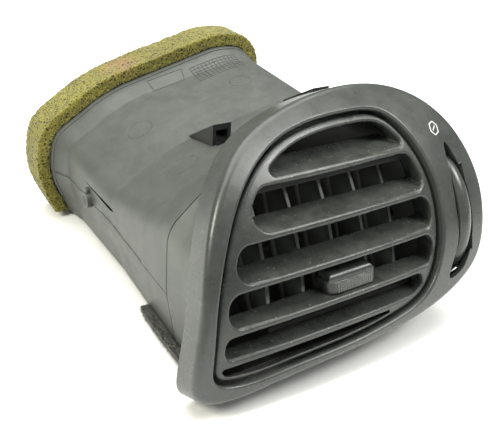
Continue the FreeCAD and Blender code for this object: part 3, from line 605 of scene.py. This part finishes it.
def parting_flash(tree):
    """Uneven flash along the parting line on the left of the duct."""
    rng = random.Random(11)
    heights = [rng.uniform(0.3, 1.0) for _ in range(400)]
    in_front = [place(LEFT_OF_DUCT_X, y, PARTING_Z) for y in FLASH_IN_FRONT]
    behind = [place(LEFT_OF_DUCT_X, y, PARTING_Z) for y in FLASH_BEHIND]
    front_path = lay_on(tree, in_front, RIGHT)
    back_path = lay_on(tree, behind, RIGHT)
    parts = [
        ridge(front_path, 0.8 * MM, 0.5 * MM, wobble=lambda index: heights[index]),
        ridge(back_path, 0.7 * MM, 0.4 * MM, wobble=lambda index: heights[-index - 1]),
    ]
    vertices, faces = joined(parts)
    new_piece("parting_line_flash", vertices, faces, DUCT, "housing")


def boss_lug():
    """Small lug moulded over the shaft boss."""
    vertices, faces = block(place(-67.9, 125.3, 34.6), (1.8 * MM, 3.2 * MM, 2.4 * MM))
    new_piece("shaft_boss_lug", vertices, faces, DUCT, "housing")


def face_mark(tree):
    """Generic printed mark over the thumbwheel: a hexagon outline round a short bar."""
    x, t = MARK_PLACE
    outline = []
    for index in range(MARK_SIDES):
        angle = math.radians(360 / MARK_SIDES * index + 20)
        across, up = MARK_HALF_WIDTH * math.cos(angle), MARK_HALF_HEIGHT * math.sin(angle)
        outline.append(on_face(x + across, t + up, OVER_FACE_N))
    bar = [on_face(x + end, t + end, OVER_FACE_N) for end in (-MARK_BAR_REACH, MARK_BAR_REACH)]
    parts = []
    for run, closed in ((outline, True), (bar, False)):
        path = lay_on(tree, run, -FACE_OUT, 0.3 * MM, closed)
        parts.append(ridge(path, 0.55 * MM, 0.06 * MM, closed, 0.05 * MM))
    vertices, faces = joined(parts)
    new_piece("printed_mark", vertices, faces, PAINT, "housing")


def grip_pad():
    """Grip pad of small pyramids on the knob's front."""
    low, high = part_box("knob_grip_pad")
    vertices, faces = [], []
    # The pad's front leans back, so its foot is at the front of its box.
    lean = high.y - low.y - CAD_PAD_DEPTH
    front = low.y + PYRAMID_HEIGHT

    def spot(u, v, out):
        return Vector((
            low.x + (high.x - low.x) * u, front + lean * v - out, low.z + (high.z - low.z) * v,
        ))

    for j in range(PAD_ROWS):
        for i in range(PAD_COLUMNS):
            start = len(vertices)
            u0, u1 = i / PAD_COLUMNS, (i + 1) / PAD_COLUMNS
            v0, v1 = j / PAD_ROWS, (j + 1) / PAD_ROWS
            vertices += [spot(u0, v0, 0), spot(u1, v0, 0), spot(u1, v1, 0), spot(u0, v1, 0)]
            vertices.append(spot((u0 + u1) / 2, (v0 + v1) / 2, PYRAMID_HEIGHT))
            faces += [(start + k, start + (k + 1) % 4, start + 4) for k in range(4)]
    start = len(vertices)
    for out in (0, -PAD_BODY):
        for u, v in ((0, 0), (1, 0), (1, 1), (0, 1)):
            vertices.append(spot(u, v, out))
    faces += [tuple(start + 4 + k for k in (3, 2, 1, 0))]
    faces += [(start + k, start + 4 + k, start + 4 + (k + 1) % 4, start + (k + 1) % 4) for k in range(4)]
    pad = new_piece("knob_grip_pyramids", vertices, faces, RUBBER, "knob")
    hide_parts("knob_grip_pad")


# ---------------------------------------------------------------- build
paint_nodes()
duct_tree = surface_of("duct_upper_shell", "duct_lower_shell")
bezel_tree = surface_of("bezel")
duct_marks(duct_tree)
duct_lip(duct_tree)
parting_flash(duct_tree)
boss_lug()
face_mark(bezel_tree)
grip_pad()
coarse = 1.0
foam_piece(
    "inlet_foam_gasket", "foam_gasket", OLIVE, "housing",
    voxel=0.7 * MM * coarse, pore=1.7 * MM, depth=0.9 * MM, wave=0.35 * MM, seed=3.1,
)
foam_piece(
    "flap_foam_seal", "flap_foam_lip", BLACK_FOAM, "flap",
    voxel=0.6 * MM * coarse, pore=0.9 * MM, depth=0.2 * MM, wave=0.05 * MM, seed=5.3,
)
strip = foam_piece(
    "felt_strip_left", "felt_strip", FELT, "housing",
    voxel=0.45 * MM * coarse, pore=1.2 * MM, depth=0.5 * MM, wave=0.3 * MM, seed=8.2,
)
felt_fibres(strip, 2600, seed=21)


# ---------------------------------------------------------------- floor, light and camera
CAMERA_AZIMUTH = math.radians(-34.49)
CAMERA_ELEVATION = math.radians(29.18)
CAMERA_ROLL = math.radians(4.0)
CAMERA_DISTANCE = 0.349
CAMERA_TARGET = place(0, 87.5, 23.9)
CAMERA_LENS = 51.65         # mm, on a sensor 36 mm wide


def plane(name, size, centre, material):
    """Square floor."""
    half = size / 2
    corners = [(-half, -half, 0), (half, -half, 0), (half, half, 0), (-half, half, 0)]
    mesh = bpy.data.meshes.new(name)
    mesh.from_pydata([tuple(Vector(c) + Vector(centre)) for c in corners], [], [(0, 1, 2, 3)])
    mesh.materials.append(material)
    piece = bpy.data.objects.new(name, mesh)
    bpy.context.scene.collection.objects.link(piece)


def area_light(name, centre, target, size, power, colour):
    """Rectangular softbox that points at a target."""
    lamp = bpy.data.lights.new(name, "AREA")
    lamp.shape = "RECTANGLE"
    lamp.size, lamp.size_y = size
    lamp.energy = power
    lamp.color = colour
    holder = bpy.data.objects.new(name, lamp)
    bpy.context.scene.collection.objects.link(holder)
    holder.location = centre
    holder.rotation_euler = (Vector(target) - Vector(centre)).to_track_quat("-Z", "Y").to_euler()


def set_world(strength):
    """Even light from all round."""
    world = bpy.data.worlds.new("soft_room")
    bpy.context.scene.world = world
    world.use_nodes = True
    background = world.node_tree.nodes["Background"]
    background.inputs["Color"].default_value = (1.0, 1.0, 0.985, 1)
    background.inputs["Strength"].default_value = strength


def set_camera():
    """Camera to the front left and above, with a slight roll."""
    back = Vector((
        math.sin(CAMERA_AZIMUTH) * math.cos(CAMERA_ELEVATION),
        -math.cos(CAMERA_AZIMUTH) * math.cos(CAMERA_ELEVATION),
        math.sin(CAMERA_ELEVATION),
    ))
    level_right = Vector((math.cos(CAMERA_AZIMUTH), math.sin(CAMERA_AZIMUTH), 0))
    level_up = back.cross(level_right)
    right = level_right * math.cos(CAMERA_ROLL) + level_up * math.sin(CAMERA_ROLL)
    up = level_up * math.cos(CAMERA_ROLL) - level_right * math.sin(CAMERA_ROLL)
    camera = bpy.data.cameras.new("camera")
    camera.sensor_width = 36.0
    camera.lens = CAMERA_LENS
    camera.clip_start = 0.01
    holder = bpy.data.objects.new("camera", camera)
    bpy.context.scene.collection.objects.link(holder)
    turn = Matrix((right, up, back)).transposed()
    holder.matrix_world = Matrix.Translation(CAMERA_TARGET + back * CAMERA_DISTANCE) @ turn.to_4x4()
    bpy.context.scene.camera = holder


plane("floor", 8.0, (0, 0, 0), FLOOR)
set_world(0.32)
area_light(
    "overhead_softbox", (0.05, 0.15, 1.1), target=(0, 0, 0),
    size=(1.3, 1.1), power=21, colour=(0.985, 1.0, 0.975),
)
area_light(
    "left_softbox", (-0.68, -0.02, 0.62), target=(-0.06, -0.05, 0.06),
    size=(0.20, 0.34), power=6.0, colour=(1.0, 0.98, 0.86),
)
area_light(
    "front_softbox", (0.42, -0.40, 0.62), target=(0, -0.05, 0.06),
    size=(0.30, 0.22), power=4.5, colour=(1.0, 1.0, 0.96),
)
bpy.context.scene.view_settings.view_transform = "Standard"
set_camera()
